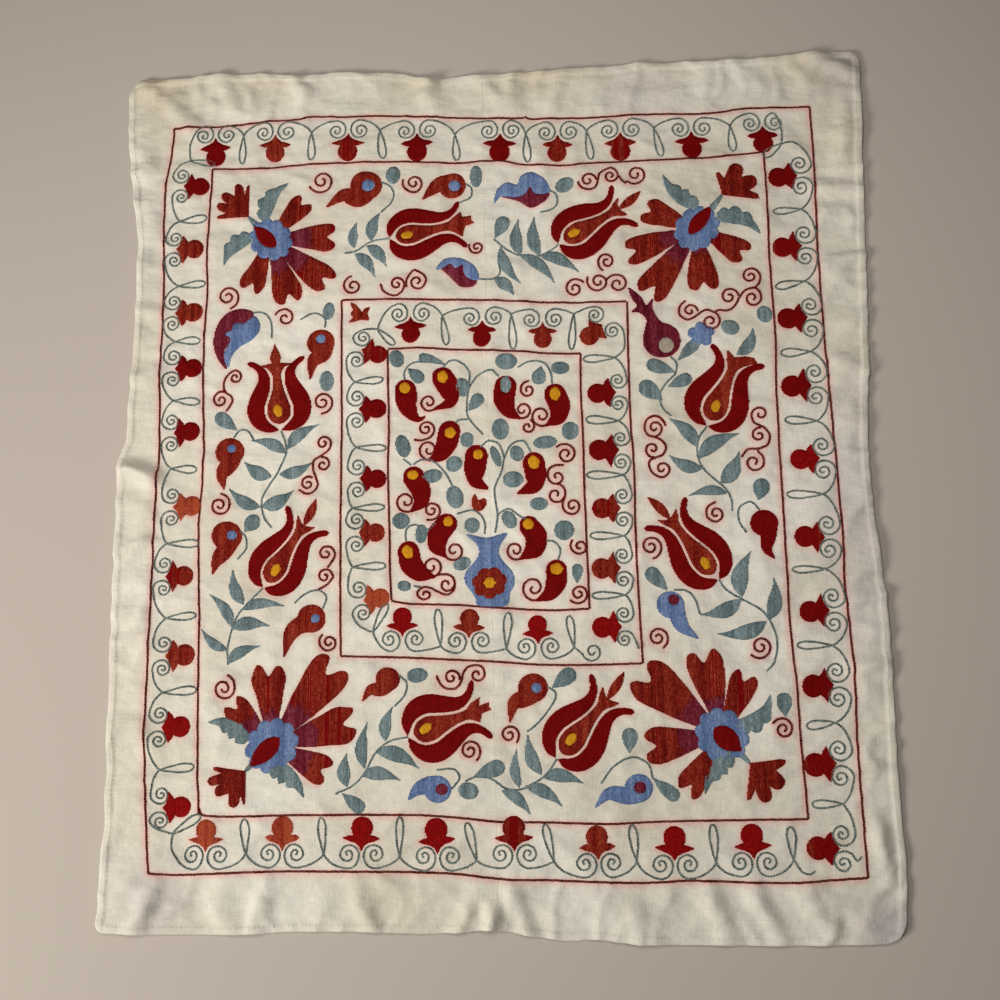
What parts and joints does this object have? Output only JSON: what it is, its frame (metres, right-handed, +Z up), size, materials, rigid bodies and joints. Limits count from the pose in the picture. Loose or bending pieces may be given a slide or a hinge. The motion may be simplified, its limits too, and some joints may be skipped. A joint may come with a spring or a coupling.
{
  "type": "embroidered wall textile",
  "caption": "Flat cotton hanging of two panels seamed down the middle, with narrow hems, worked all over with floral and border embroidery",
  "frame": {"origin": "middle of the cloth's outline, on the plane it lies on", "axes": "+Z up out of the embroidered face, +Y along the cloth towards its top edge, +X across it to the right"},
  "size_m": [0.9266, 1.0598, 0.008],
  "materials": {
    "cotton": "matt unbleached plain-weave cotton",
    "thread_red": "matt embroidery thread",
    "thread_rust": "matt embroidery thread",
    "thread_plum": "matt embroidery thread",
    "thread_blue": "matt embroidery thread",
    "thread_teal": "matt embroidery thread",
    "thread_yellow": "matt embroidery thread"
  },
  "bodies": {
    "root": {"panel_left": "cotton", "panel_right": "cotton"}
  },
  "joints": []
}
